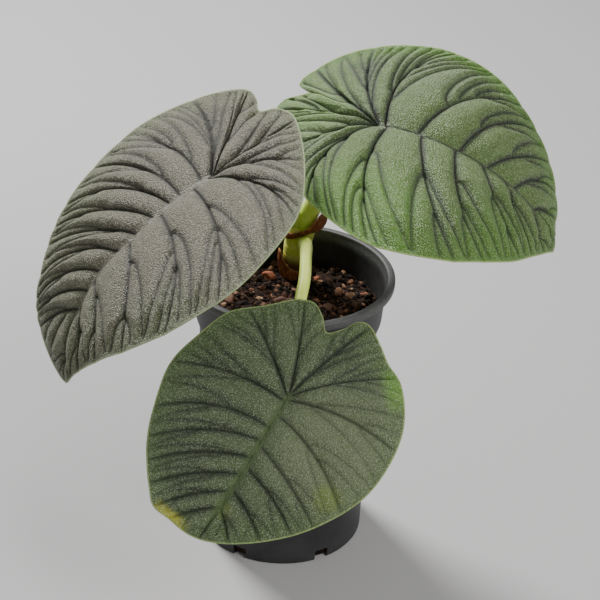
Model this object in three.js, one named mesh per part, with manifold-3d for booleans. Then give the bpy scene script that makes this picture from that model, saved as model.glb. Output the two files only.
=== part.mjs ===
// A potted Alocasia melo: three thick, quilted, shield-shaped leaves on fleshy stalks, in a nursery pot.
// Millimetres, +Z up. The origin is the middle of the pot's underside and the front leaf hangs toward -Y.

import * as THREE from "three";
import Module from "manifold-3d";

const wasm = await Module();
wasm.setup();

// Nursery pot, a thin moulded plastic cone with a collar and a rolled lip
const POT_HEIGHT = 150;
const RIM_RADIUS = 52.5;
const LIP_WIDTH = 3.8;
const LIP_DROP = 4.4;
const COLLAR_RADIUS = 48.3;
const COLLAR_FOOT_RADIUS = 46.9;
const COLLAR_FOOT_Z = 126.5;
const WALL_TOP_RADIUS = 44.8;
const WALL_TOP_Z = 120.5;
const FOOT_RADIUS = 42.4;
const WALL = 1.3;
const FLOOR = 1.6;
const POT_SIDES = 56;
const DRAIN_COUNT = 6;
const DRAIN_WIDTH = 7.5;
const DRAIN_HEIGHT = 6.2;
const DRAIN_REACH = 8;
const DRAIN_FIRST_ANGLE = THREE.MathUtils.degToRad(-118.3);

// Clearance kept between pieces that touch in the real plant
const GAP = 0.35;

// Potting mix
const MIX_LEVEL = 131.5;
const MIX_BUMP = 1.1;
const MIX_SIDES = 36;
const SHOWN_STONES = [
  [-11, 25.5, 4.4], [25, 13, 3.5], [31, 9.5, 2.9], [38, 12, 2.4], [33.5, -2, 3.0], [13.5, 26.5, 2.0],
  [19.5, -2.5, 3.2],
];
const SHOWN_SEED = 300;
const GRAVEL_COUNT = 22;
const GRAVEL_SIZE = [2.2, 3.8];
const GRAVEL_SEED = 41;
const QUIET_RADIUS = 11;

// Crown, the short fleshy stem: centre line points with the radius at each
const CROWN = [
  [0.8, 29, 101, 4.2], [0.8, 29, 126, 5.0], [1.0, 29, 134, 5.6], [1.8, 28.5, 143, 6.3],
  [3.0, 28, 152, 6.9], [4.4, 27.5, 160, 7.3], [5.0, 27.2, 164, 7.2],
];

// Leaf stalks: centre line points with the radius at each; the last point lies at the leaf's underside
const STALKS = {
  left: [
    [2.6, 26.8, 157, 3.4], [1.0, 25.5, 166, 3.9], [-5.5, 18.5, 180, 3.5], [-16, 6, 193, 3.0],
    [-28, -10, 203.5, 2.7], [-37.5, -22, 209.5, 2.4], [-42.7, -28.0, 212.6, 2.2],
  ],
  right: [
    [4.8, 27.2, 155, 4.4], [7.0, 26.4, 167, 5.1], [11.5, 24.6, 179, 4.5], [19, 21.5, 193, 3.5],
    [29, 17, 208, 2.8], [38, 13.5, 219.5, 2.4], [43.2, 12.0, 226.6, 2.2],
  ],
  front: [
    [5.6, 24.5, 150, 3.3], [6.4, 18.5, 156.5, 3.4], [7.2, 5, 161.5, 3.2], [7.4, -12, 164, 3.0],
    [7.0, -32, 163, 2.9], [4.8, -52, 158.5, 2.8], [2.4, -72, 149.5, 2.6], [0.8, -88, 140, 2.4],
    [0.2, -98, 135.3, 2.2],
  ],
};
const STALK_SIDES = 12;
const STALK_RUN_OUT = 4;
const CROWN_SIDES = 18;

// Leaves. Each blade has its own flat map: u runs along the midrib from the stalk to the tip, v to its left.
// heading, dip and roll (degrees) point the midrib; bends and fold (per mm) curve the blade off its plane.
// outline: margin points in (u, v). veins: [start on the midrib, direction of the end seen from the stalk in
// degrees, bow as a share of the vein's length], in turn round the blade from the tip.
const BLADE = 0.9;
const RIB_DEPTH = 1.5;
const QUILT_SHARE_AT_MARGIN = 0.22;
const ROWS_PER_OUTLINE_POINT = 2.3;
const COLUMNS = [0, 0.09, 0.2, 0.32, 0.44, 0.57, 0.7, 0.82, 0.92, 1];
const RIB_HALF_WIDTH = 1.5;

const LEAVES = {
  left: {
    attach: [-42.7, -28.0, 212.6],
    heading: 210.7, dip: 23.7, roll: -8.9,
    bendFront: 0.008, bendBack: -0.0012, fold: 0.12, cup: 0.004,
    quilt: 2.6,
    midrib: [[0, 0], [42, 0], [65, -3.2], [90, -1.2], [106, 2.2], [120, 7]],
    outline: [
      [120, 11], [112, 15.5], [94.5, 29], [79, 42.5], [59.5, 55.5], [40, 63], [20, 66], [-5.5, 60],
      [-25, 49.5], [-42, 27], [-52, 6], [-54, -3], [-50.5, -11.5], [-44, -16], [-47, -23.5], [-48, -31],
      [-44, -37], [-28, -48], [-2, -55], [29, -53], [54.5, -49.5], [71.5, -44.5], [86.5, -38], [100, -32],
      [107.5, -25], [115, -13], [120, 0],
    ],
    veins: [
      [98, 4.2, 0], [84, 9, 0.1], [70, 15, 0.1], [45, 25, 0.12], [26, 41, 0.28], [6, 62, 0.22],
      [-2, 109, 0.3], [-4, 146, 0.2], [-5, 178, 0.1], [-5, 214, 0], [-4, 244, 0.18], [1, 287, 0.3],
      [13, 303, 0.24], [19, 319, 0.24], [29, 326, 0.18], [40, 331, 0.14], [52, 338, 0.22],
      [65, 342.5, 0.24], [76, 345.5, 0.2], [86, 349, 0.15],
    ],
  },
  right: {
    attach: [43.2, 12.0, 226.6],
    heading: -13.5, dip: 5.5, roll: 23.1,
    bendFront: 0.010, bendBack: 0.0123, fold: 0.10, cup: 0.004,
    quilt: 3.0,
    midrib: [[0, 0], [50, 0.8], [90, 0.4], [113, -4]],
    outline: [
      [114, -4], [110, 3], [105.5, 14.5], [91.5, 30.5], [71.5, 44.5], [47, 56.5], [20, 60], [-5, 55],
      [-27, 48], [-46, 38], [-54, 32], [-54.5, 27], [-46, 19.5], [-53.5, 19], [-62.5, 19.5], [-67.5, 14.5],
      [-65, 6], [-59.5, -6], [-48.5, -22.5], [-28.5, -49], [-8.5, -63.5], [9, -69.5], [27.5, -68.5],
      [51.5, -60], [66.5, -50.5], [83.5, -37.5], [95.5, -24.5], [107, -12],
    ],
    veins: [
      [100, -2, 0], [88, 5, 0.2], [72, 12, 0.3], [54, 20, 0.16], [38, 29, 0.3], [16, 38, 0.28],
      [0, 70, 0.34], [-3, 111, 0.18], [-3, 142, 0.1], [-4, 168, 0.1], [-4, 206, 0.1], [-3, 244, 0.34],
      [1, 283, 0.27], [18, 312, 0.18], [36, 324, 0.25], [51, 340, 0.16], [66, 346, 0.1], [84, 352, 0.1],
    ],
  },
  front: {
    attach: [0.2, -98.0, 135.3],
    heading: 232.4, dip: 38.5, roll: -18.8,
    bendFront: 0.0025, bendBack: 0.004, fold: 0.06, cup: 0.003,
    quilt: 2.2,
    midrib: [[0, 0], [35, 0], [72, -2]],
    outline: [
      [72.5, 0], [65.5, 15.5], [47.5, 37.5], [23, 53], [5, 56.5], [-17.5, 53.5], [-35.5, 41.5], [-41, 31.5],
      [-47, 24], [-53.5, 14], [-52.5, 9], [-44.5, 4], [-40, -1], [-46, -7], [-50, -14], [-48, -21],
      [-37, -33], [-26, -46], [-9.5, -52.5], [8, -57], [24, -54.5], [46, -47], [65, -34], [70.5, -28.5],
      [72, -19], [73.5, -9],
    ],
    veins: [
      [66, -2, 0], [56, 9, 0.1], [46, 21, 0.1], [34, 34, 0.1], [22, 44, 0.06], [6, 57, 0.15],
      [-2, 96, 0.14], [-4, 133, 0.08], [-5, 164, 0.05], [-4, 201, 0.05], [-3, 231, 0.05], [-1, 278, 0.14],
      [13, 300, 0.2], [20, 313, 0.16], [29, 322, 0.13], [38, 330, 0.12], [47, 338, 0.11], [56, 345, 0.1],
    ],
  },
};

// Papery brown remains of old sheaths wrapped round the crown: turn about the crown in degrees from +X,
// height of the middle, half height and stand-off at each station
const OLD_SHEATHS = {
  dry_sheath_upper: [
    [188, 158.2, 1.3, 0.5], [212, 158.4, 1.9, 0.6], [236, 159.2, 1.8, 0.7], [262, 161.0, 1.7, 0.8],
    [290, 163.0, 1.9, 1.0], [318, 165.2, 2.6, 1.7], [342, 167.4, 3.4, 3.2], [356, 169.4, 4.0, 5.0],
    [362, 170.6, 3.4, 6.2], [365, 171.6, 2.0, 6.9],
  ],
  dry_sheath_lower: [
    [168, 144.0, 2.2, 1.4], [188, 143.0, 5.0, 1.5], [208, 140.0, 6.4, 0.8], [232, 137.4, 4.6, 0.3],
    [258, 136.0, 3.4, 0.2], [284, 135.4, 2.8, 0.2], [308, 135.0, 2.0, 0.3], [326, 134.4, 0.9, 0.4],
  ],
};
const SHEATH_THICKNESS = 0.7;

const radians = THREE.MathUtils.degToRad;
const lerp = THREE.MathUtils.lerp;
const smoothstep = THREE.MathUtils.smoothstep;

// Repeatable random numbers from a seed
function seededRandom(seed) {
  let state = seed >>> 0;
  return () => {
    state = (state + 0x6d2b79f5) >>> 0;
    let mixed = Math.imul(state ^ (state >>> 15), 1 | state);
    mixed ^= mixed + Math.imul(mixed ^ (mixed >>> 7), 61 | mixed);
    return ((mixed ^ (mixed >>> 14)) >>> 0) / 4294967296;
  };
}

// A geometry from points and triangles, turned so that its faces look outward
function closedBody(points, triangles) {
  let volume = 0;
  for (const [a, b, c] of triangles) {
    volume += points[a].dot(new THREE.Vector3().crossVectors(points[b], points[c]));
  }
  const index = triangles.flatMap(([a, b, c]) => (volume > 0 ? [a, b, c] : [a, c, b]));
  const geometry = new THREE.BufferGeometry().setFromPoints(points);
  geometry.setIndex(index);
  return geometry;
}

// A closed body through rings of points, each end closed by a fan about its ring's middle
function ringBody(rings) {
  const sides = rings[0].length;
  const points = rings.flat();
  const triangles = [];
  for (let row = 0; row + 1 < rings.length; row += 1) {
    for (let side = 0; side < sides; side += 1) {
      const next = (side + 1) % sides;
      const a = row * sides + side;
      const b = row * sides + next;
      triangles.push([a, b, b + sides], [a, b + sides, a + sides]);
    }
  }
  for (const [row, turned] of [[0, true], [rings.length - 1, false]]) {
    const middle = new THREE.Vector3();
    rings[row].forEach((point) => middle.addScaledVector(point, 1 / sides));
    points.push(middle);
    for (let side = 0; side < sides; side += 1) {
      const a = row * sides + side;
      const b = row * sides + ((side + 1) % sides);
      triangles.push(turned ? [b, a, points.length - 1] : [a, b, points.length - 1]);
    }
  }
  return closedBody(points, triangles);
}

// A round body along a centre line of [x, y, z, radius] points
function stalkBody(stations, sides, rows, extraRadius = 0) {
  const line = new THREE.CatmullRomCurve3(stations.map(([x, y, z]) => new THREE.Vector3(x, y, z)));
  const frames = line.computeFrenetFrames(rows, false);
  const rings = [];
  for (let row = 0; row <= rows; row += 1) {
    const share = line.getUtoTmapping(row / rows) * (stations.length - 1);
    const before = Math.min(Math.floor(share), stations.length - 2);
    const radius = lerp(stations[before][3], stations[before + 1][3], share - before) + extraRadius;
    const centre = line.getPointAt(row / rows);
    if (row === 0 || row === rows) {
      const outward = frames.tangents[row].clone().multiplyScalar(row === 0 ? -1 : 1);
      centre.addScaledVector(outward, extraRadius);
    }
    const ring = [];
    for (let side = 0; side < sides; side += 1) {
      const turn = (2 * Math.PI * side) / sides;
      ring.push(centre.clone()
        .addScaledVector(frames.normals[row], radius * Math.cos(turn))
        .addScaledVector(frames.binormals[row], radius * Math.sin(turn)));
    }
    rings.push(ring);
  }
  return ringBody(rings);
}

// Solids for joining and cutting, and back to geometry
function solid(geometry) {
  return new wasm.Manifold(new wasm.Mesh({
    numProp: 3,
    vertProperties: new Float32Array(geometry.getAttribute("position").array),
    triVerts: new Uint32Array(geometry.getIndex().array),
  }));
}

function geometryOf(body) {
  const mesh = body.getMesh();
  const geometry = new THREE.BufferGeometry();
  geometry.setAttribute("position", new THREE.BufferAttribute(new Float32Array(mesh.vertProperties), 3));
  geometry.setIndex(new THREE.BufferAttribute(new Uint32Array(mesh.triVerts), 1));
  return geometry;
}

// Rings round the vertical axis from [radius, z] pairs
function turnedRings(profile, sides) {
  return profile.map(([radius, z]) => Array.from({ length: sides }, (_, side) => {
    const turn = (2 * Math.PI * side) / sides;
    return new THREE.Vector3(radius * Math.cos(turn), radius * Math.sin(turn), z);
  }));
}

// The pot is turned from its outer and inner profiles, then its drain notches are cut from below
function potGeometry() {
  const lipInner = RIM_RADIUS - LIP_WIDTH;
  const underLip = POT_HEIGHT - LIP_DROP;
  const outer = [
    [FOOT_RADIUS - 0.8, 0], [FOOT_RADIUS, 0.9], [WALL_TOP_RADIUS, WALL_TOP_Z],
    [COLLAR_FOOT_RADIUS, COLLAR_FOOT_Z], [COLLAR_RADIUS, underLip], [RIM_RADIUS - 0.5, underLip - 0.2],
    [RIM_RADIUS, underLip + 0.8], [RIM_RADIUS, POT_HEIGHT - 1.4], [RIM_RADIUS - 0.5, POT_HEIGHT - 0.4],
    [RIM_RADIUS - 1.5, POT_HEIGHT], [lipInner + 0.8, POT_HEIGHT], [lipInner + 0.1, POT_HEIGHT - 0.5],
  ];
  const inner = [
    [lipInner - 0.4, POT_HEIGHT - 2.2], [COLLAR_RADIUS - WALL, underLip - 1],
    [COLLAR_FOOT_RADIUS - WALL, COLLAR_FOOT_Z + 0.3], [WALL_TOP_RADIUS - WALL, WALL_TOP_Z + 0.3],
    [FOOT_RADIUS - WALL, FLOOR],
  ];
  let pot = solid(ringBody(turnedRings([...outer, ...inner], POT_SIDES)));
  for (let drain = 0; drain < DRAIN_COUNT; drain += 1) {
    const notch = new THREE.BoxGeometry(2 * DRAIN_REACH, DRAIN_WIDTH, 2 * DRAIN_HEIGHT);
    notch.translate(FOOT_RADIUS, 0, 0);
    notch.rotateZ(DRAIN_FIRST_ANGLE + (2 * Math.PI * drain) / DRAIN_COUNT);
    pot = pot.subtract(solid(welded(notch)));
  }
  return geometryOf(pot);
}

// The same geometry with its corners joined, so that it is one closed surface
function welded(geometry) {
  const position = geometry.getAttribute("position");
  const seen = new Map();
  const points = [];
  const place = Array.from({ length: position.count }, (_, at) => {
    const point = new THREE.Vector3().fromBufferAttribute(position, at);
    const key = point.toArray().map((value) => value.toFixed(4)).join(" ");
    if (!seen.has(key)) {
      seen.set(key, points.length);
      points.push(point);
    }
    return seen.get(key);
  });
  const source = geometry.getIndex();
  const count = source ? source.count : position.count;
  const triangles = [];
  for (let at = 0; at < count; at += 3) {
    triangles.push([0, 1, 2].map((step) => place[source ? source.getX(at + step) : at + step]));
  }
  return closedBody(points, triangles);
}

// Gentle humps of the mix's surface, flat close to the crown
function mixHeight(x, y) {
  const humps = Math.sin(x * 0.21 + 1.3) * Math.cos(y * 0.17 - 0.4) + 0.5 * Math.sin(x * 0.43 - y * 0.37);
  const away = Math.hypot(x - CROWN[2][0], y - CROWN[2][1]);
  return MIX_LEVEL + MIX_BUMP * humps * smoothstep(away, QUIET_RADIUS, 2 * QUIET_RADIUS);
}

// One broken lump of gravel, half sunk in the mix: a 20 sided ball with shifted corners
function gravelStone(x, y, radius, random) {
  const stone = welded(new THREE.IcosahedronGeometry(radius, 0));
  const corners = stone.getAttribute("position");
  for (let at = 0; at < corners.count; at += 1) {
    const corner = new THREE.Vector3().fromBufferAttribute(corners, at);
    corner.multiplyScalar(lerp(0.8, 1.15, random()));
    corners.setXYZ(at, corner.x, corner.y * 0.85, corner.z * 0.7);
  }
  stone.rotateZ(2 * Math.PI * random());
  stone.translate(x, y, mixHeight(x, y) + 0.1 * radius);
  return solid(stone);
}

// The mix fills the pot; its gravel lies half sunk in the surface and the crown stands in a plain hole.
// A few stones have their own places, and the seeded ones keep clear of them and of the crown.
function mixGeometry(crownHole) {
  const inside = (radius) => radius - WALL - GAP;
  const wallRings = turnedRings([
    [inside(FOOT_RADIUS), FLOOR + GAP], [inside(WALL_TOP_RADIUS), WALL_TOP_Z + 0.3],
    [inside(COLLAR_FOOT_RADIUS), COLLAR_FOOT_Z + 0.3],
  ], MIX_SIDES);
  const edge = inside(COLLAR_FOOT_RADIUS) + 0.2;
  const topRings = turnedRings([1, 0.86, 0.7, 0.54, 0.38, 0.2].map((share) => [edge * share, 0]), MIX_SIDES);
  topRings.flat().forEach((point) => {
    point.z = mixHeight(point.x, point.y);
  });
  let mix = solid(ringBody([...wallRings, ...topRings]));
  const shape = seededRandom(SHOWN_SEED);
  for (const [x, y, radius] of SHOWN_STONES) {
    mix = mix.add(gravelStone(x, y, radius, shape));
  }
  const random = seededRandom(GRAVEL_SEED);
  let placed = 0;
  while (placed < GRAVEL_COUNT) {
    const radius = lerp(...GRAVEL_SIZE, random());
    const reach = (edge - radius - 1) * Math.sqrt(random());
    const turn = 2 * Math.PI * random();
    const [x, y] = [reach * Math.cos(turn), reach * Math.sin(turn)];
    const clear = Math.hypot(x - CROWN[2][0], y - CROWN[2][1]) > QUIET_RADIUS
      && SHOWN_STONES.every(([shownX, shownY, near]) => Math.hypot(x - shownX, y - shownY) > radius + near);
    if (clear) {
      mix = mix.add(gravelStone(x, y, radius, random));
      placed += 1;
    }
  }
  return geometryOf(mix.subtract(crownHole));
}

// The blade's own frame: M along the midrib, L to its left, N up from the upper face
function bladeFrame(leaf) {
  const [heading, dip, roll] = [leaf.heading, leaf.dip, leaf.roll].map(radians);
  const M = new THREE.Vector3(
    Math.cos(heading) * Math.cos(dip), Math.sin(heading) * Math.cos(dip), -Math.sin(dip));
  const level = new THREE.Vector3(-Math.sin(heading), Math.cos(heading), 0);
  const upright = new THREE.Vector3().crossVectors(M, level);
  const L = level.multiplyScalar(Math.cos(roll)).addScaledVector(upright, Math.sin(roll));
  return { A: new THREE.Vector3(...leaf.attach), M, L, N: new THREE.Vector3().crossVectors(M, L) };
}

// A place on the blade, from its flat map (u, v) and a height above its smooth sheet
function bladePoint(leaf, frame, u, v, height) {
  const bend = u > 0 ? leaf.bendFront : leaf.bendBack;
  const turn = bend * u;
  const along = Math.sin(turn) / bend;
  const drop = (1 - Math.cos(turn)) / bend;
  const folded = leaf.fold * (Math.hypot(v, 8) - 8) - (leaf.cup * v * v) / 2;
  const normal = frame.N.clone().multiplyScalar(Math.cos(turn)).addScaledVector(frame.M, Math.sin(turn));
  return frame.A.clone()
    .addScaledVector(frame.M, along)
    .addScaledVector(frame.N, -drop)
    .addScaledVector(frame.L, v)
    .addScaledVector(normal, folded + height);
}

// Sideways place of the midrib at u, straight lines between its stations
function midribAt(leaf, u) {
  const stations = leaf.midrib;
  const next = stations.findIndex(([station]) => station > u);
  if (next <= 0) {
    return next === 0 ? stations[0][1] : stations.at(-1)[1];
  }
  const [[u0, v0], [u1, v1]] = [stations[next - 1], stations[next]];
  return lerp(v0, v1, (u - u0) / (u1 - u0));
}

// Rows that run from the midrib to the margin like the side veins, in turn round the blade. Each vein is a
// row of its own, and the rows between two veins carry the swelling of the quilted panel between them.
function bladeRows(leaf) {
  const margin = new THREE.CatmullRomCurve3(
    leaf.outline.map(([u, v]) => new THREE.Vector3(u, v, 0)), true, "centripetal");
  const steps = 60 * leaf.outline.length;
  const polar = [];
  for (let step = 0; step <= steps; step += 1) {
    const point = margin.getPoint(step / steps);
    let angle = THREE.MathUtils.radToDeg(Math.atan2(point.y, point.x));
    while (step > 0 && angle < polar[step - 1] - 180) {
      angle += 360;
    }
    while (step > 0 && angle > polar[step - 1] + 180) {
      angle -= 360;
    }
    polar.push(angle);
  }
  const shareAt = (angle) => {
    const wanted = angle < polar[0] ? angle + 360 : angle;
    return Math.max(polar.findIndex((value) => value >= wanted), 0) / steps;
  };
  const veins = leaf.veins.map(([start, angle, bow]) => ({ start, bow, share: shareAt(angle) }));
  const rows = [];
  veins.forEach((vein, at) => {
    const next = veins[(at + 1) % veins.length];
    const span = (next.share - vein.share + 1) % 1;
    const count = Math.max(2, Math.round(span * leaf.outline.length * ROWS_PER_OUTLINE_POINT));
    for (let step = 0; step < count; step += 1) {
      const phase = step / count;
      const end = margin.getPoint((vein.share + span * phase) % 1);
      const start = lerp(vein.start, next.start, phase);
      const spine = midribAt(leaf, start);
      const angle = Math.atan2(end.y - spine, end.x - start);
      const u0 = start + RIB_HALF_WIDTH * Math.cos(angle);
      const v0 = spine + RIB_HALF_WIDTH * Math.sin(angle);
      const side = THREE.MathUtils.clamp(2 * Math.sin(angle), -1, 1);
      const bow = lerp(vein.bow, next.bow, phase);
      rows.push({
        panel: Math.sin(Math.PI * phase) ** 0.75,
        at: (t) => {
          const bulge = 2 * t * (1 - t) * bow;
          return [
            lerp(u0, end.x, t) - bulge * Math.abs(end.y - v0),
            lerp(v0, end.y, t) + bulge * side * (end.x - u0),
          ];
        },
      });
    }
  });
  return rows;
}

// Height of the quilting above the smooth sheet: deepest at the veins, flatter along the margin
function quiltHeight(leaf, panel, t) {
  const rise = smoothstep(t, 0, 0.3);
  const fade = lerp(1, QUILT_SHARE_AT_MARGIN, smoothstep(t, 0.72, 1));
  return leaf.quilt * (panel * rise * fade - 0.45 * (1 - smoothstep(t, 0, 0.16)));
}

function leafGeometry(leaf, above = 0, below = 0) {
  const frame = bladeFrame(leaf);
  const rows = bladeRows(leaf);
  const top = [];
  const bottom = [];
  const flat = [];
  for (const row of rows) {
    for (const t of COLUMNS) {
      const [u, v] = row.at(t);
      const height = quiltHeight(leaf, row.panel, t);
      const toTip = THREE.MathUtils.clamp(1 - u / leaf.outline[0][0], 0, 1);
      const rib = t === 0 ? RIB_DEPTH * toTip : 0;
      top.push(bladePoint(leaf, frame, u, v, height + BLADE / 2 + above));
      bottom.push(bladePoint(leaf, frame, u, v, height - BLADE / 2 - rib - below));
      flat.push(new THREE.Vector2(u, v));
    }
  }
  const columns = COLUMNS.length;
  const upper = [];
  const rim = [];
  rows.forEach((_, at) => {
    const here = at * columns;
    const there = ((at + 1) % rows.length) * columns;
    for (let column = 0; column + 1 < columns; column += 1) {
      const [a, b, c, d] = [here + column, here + column + 1, there + column + 1, there + column];
      upper.push([a, b, c], [a, c, d]);
    }
    rim.push([here + columns - 1, there + columns - 1]);
  });
  const ribLoop = rows.map((_, at) => at * columns);
  for (const [a, b, c] of THREE.ShapeUtils.triangulateShape(ribLoop.map((at) => flat[at]), [])) {
    upper.push([ribLoop[a], ribLoop[b], ribLoop[c]]);
  }
  const half = top.length;
  const triangles = [
    ...upper,
    ...upper.map(([a, b, c]) => [a + half, c + half, b + half]),
    ...rim.flatMap(([a, b]) => [[b, a, a + half], [b, a + half, b + half]]),
  ];
  return closedBody([...top, ...bottom], triangles);
}

// A papery strip that wraps the crown
function sheathGeometry(stations) {
  const crownAt = (z) => {
    const next = CROWN.findIndex((station) => station[2] > z);
    const [low, high] = next < 0 ? CROWN.slice(-2) : [CROWN[next - 1], CROWN[next]];
    const share = THREE.MathUtils.clamp((z - low[2]) / (high[2] - low[2]), 0, 1);
    return low.map((value, at) => lerp(value, high[at], share));
  };
  const smooth = (points) => new THREE.CatmullRomCurve3(points, false, "catmullrom");
  const path = smooth(stations.map(([turn, z]) => new THREE.Vector3(turn, z, 0)));
  const shape = smooth(stations.map(([, , half, off]) => new THREE.Vector3(half, off, 0)));
  const rows = 3 * (stations.length - 1);
  const rings = [];
  for (let row = 0; row <= rows; row += 1) {
    const { x: turn, y: middle } = path.getPoint(row / rows);
    const { x: half, y: off } = shape.getPoint(row / rows);
    const ring = [[-1, 0], [-1, 1], [1, 1], [1, 0]].map(([side, out]) => {
      const z = middle + side * half;
      const [x, y, , radius] = crownAt(z);
      const reach = radius + GAP + off * (side > 0 ? 1 : 0.75) + out * SHEATH_THICKNESS;
      return new THREE.Vector3(x + reach * Math.cos(radians(turn)), y + reach * Math.sin(radians(turn)), z);
    });
    rings.push(ring);
  }
  return ringBody(rings);
}

const wide = (stations, sides, rows) => solid(stalkBody(stations, sides, rows, GAP));
const plain = (stations, sides, rows) => solid(stalkBody(stations, sides, rows));

const crown = plain(CROWN, CROWN_SIDES, 10);
const crownHole = wide(CROWN, CROWN_SIDES, 10);
const stalkWide = Object.fromEntries(
  Object.entries(STALKS).map(([name, stations]) => [name, wide(stations, STALK_SIDES, 16)]));
const deepLeaf = Object.fromEntries(
  Object.entries(LEAVES).map(([name, leaf]) => [name, solid(leafGeometry(leaf, STALK_RUN_OUT, GAP))]));

const green = { color: 0x9fb35a, roughness: 0.5, metalness: 0 };
const plant = new THREE.Group();
plant.name = "potted_alocasia_melo";

function place(name, geometry, look) {
  const mesh = new THREE.Mesh(geometry, new THREE.MeshStandardMaterial(look));
  mesh.name = name;
  plant.add(mesh);
}

place("nursery_pot", potGeometry(), { color: 0x2c2c2e, roughness: 0.6, metalness: 0 });
place("potting_mix", mixGeometry(crownHole), { color: 0x2b1d16, roughness: 0.95, metalness: 0 });
const crownCut = crown
  .subtract(stalkWide.left)
  .subtract(stalkWide.right)
  .subtract(stalkWide.front);
place("stem", geometryOf(crownCut), { color: 0x8f9e3a, roughness: 0.5, metalness: 0 });
const placed = [];
for (const name of ["right", "left", "front"]) {
  let stalk = plain(STALKS[name], STALK_SIDES, 16).subtract(deepLeaf[name]);
  for (const earlier of placed) {
    stalk = stalk.subtract(stalkWide[earlier]);
  }
  placed.push(name);
  place(`petiole_${name}`, geometryOf(stalk), green);
}
for (const [name, stations] of Object.entries(OLD_SHEATHS)) {
  const strip = solid(sheathGeometry(stations))
    .subtract(crownHole)
    .subtract(stalkWide.left)
    .subtract(stalkWide.right)
    .subtract(stalkWide.front);
  place(name, geometryOf(strip), { color: 0x6b3d22, roughness: 0.85, metalness: 0 });
}
const leafColours = { left: 0x77806c, right: 0x4f7a45, front: 0x3c5638 };
for (const [name, leaf] of Object.entries(LEAVES)) {
  place(`leaf_${name}`, leafGeometry(leaf), { color: leafColours[name], roughness: 0.45, metalness: 0.1 });
}

export default plant;
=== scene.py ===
# A potted Alocasia melo in a black nursery pot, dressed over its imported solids.
# Lengths are in millimetres in the tables and formulas, and a mesh gets them in metres.
import math

import bmesh
import bpy
import numpy as np
from mathutils import Matrix, Vector, noise


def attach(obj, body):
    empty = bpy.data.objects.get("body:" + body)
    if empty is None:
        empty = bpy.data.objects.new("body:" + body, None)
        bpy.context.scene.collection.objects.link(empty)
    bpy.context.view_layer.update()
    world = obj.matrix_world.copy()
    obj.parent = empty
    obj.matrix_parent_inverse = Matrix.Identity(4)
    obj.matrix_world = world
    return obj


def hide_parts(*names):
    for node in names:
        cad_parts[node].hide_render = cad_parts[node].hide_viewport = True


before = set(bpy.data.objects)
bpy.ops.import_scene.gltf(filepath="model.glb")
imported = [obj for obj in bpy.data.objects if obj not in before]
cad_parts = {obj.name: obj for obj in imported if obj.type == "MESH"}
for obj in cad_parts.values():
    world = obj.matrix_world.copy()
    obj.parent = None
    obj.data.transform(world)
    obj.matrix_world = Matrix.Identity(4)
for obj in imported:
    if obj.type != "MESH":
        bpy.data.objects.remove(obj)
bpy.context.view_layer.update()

# Camera
# It stands 30 degrees above the horizon, about a metre from the rim, and is turned a little about
# its own line of sight. The view's centre passes just beside the middle of the rim.
MM = 0.001
CAMERA_ELEVATION = math.radians(30.12)
CAMERA_ROLL = math.radians(2.57)
CAMERA_DISTANCE = 996.5
CAMERA_AIM = Vector((0, 0, 150))
CAMERA_SIDESTEP = -4.78
CAMERA_RISE = 14.02
CAMERA_LENS = 120
CAMERA_SENSOR = 36


def linked(name, data):
    """A new object in the scene."""
    made = bpy.data.objects.new(name, data)
    bpy.context.collection.objects.link(made)
    return made


ahead = Vector((0, math.cos(CAMERA_ELEVATION), -math.sin(CAMERA_ELEVATION)))
above = Vector((0, math.sin(CAMERA_ELEVATION), math.cos(CAMERA_ELEVATION)))
level = Vector((1, 0, 0))
camera_x = level * math.cos(CAMERA_ROLL) + above * math.sin(CAMERA_ROLL)
camera_y = above * math.cos(CAMERA_ROLL) - level * math.sin(CAMERA_ROLL)
eye = CAMERA_AIM - camera_x * CAMERA_SIDESTEP - camera_y * CAMERA_RISE - ahead * CAMERA_DISTANCE
camera = linked("camera", bpy.data.cameras.new("camera"))
camera.data.lens = CAMERA_LENS
camera.data.sensor_width = CAMERA_SENSOR
camera.matrix_world = Matrix.Translation(eye * MM) @ Matrix(
    (camera_x, camera_y, -ahead)).transposed().to_4x4()
bpy.context.scene.camera = camera


# Studio floor and light
# A plain pale floor under soft lamps: the main one stands above and behind to the left, and a wider
# and weaker one at the front right. An even pale surround fills the shadows. Floor and lamps are in
# metres, and none of this belongs to the object.
class Wire:
    """What comes out of a shader node. Arithmetic on it adds the nodes for the sum."""

    def __init__(self, finish, socket):
        self.finish = finish
        self.socket = socket

    def maths(self, operation, *values):
        return self.finish.node("ShaderNodeMath", {"operation": operation}, dict(enumerate(values)))

    def __add__(self, other):
        return self.maths("ADD", self, other)

    def __sub__(self, other):
        return self.maths("SUBTRACT", self, other)

    def __rsub__(self, other):
        return self.maths("SUBTRACT", other, self)

    def __mul__(self, other):
        return self.maths("MULTIPLY", self, other)

    def __truediv__(self, other):
        return self.maths("DIVIDE", self, other)

    def __rtruediv__(self, other):
        return self.maths("DIVIDE", other, self)

    def __pow__(self, other):
        return self.maths("POWER", self, other)

    def __rpow__(self, other):
        return self.maths("POWER", other, self)

    __radd__ = __add__
    __rmul__ = __mul__

    def clipped(self):
        return self.finish.node("ShaderNodeClamp", {}, {"Value": self})

    def between(self, low, high):
        """0 below low, 1 above high and a smooth change between them."""
        settings = {"interpolation_type": "SMOOTHSTEP"}
        return self.finish.node("ShaderNodeMapRange", settings, {"Value": self, 1: low, 2: high})


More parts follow.
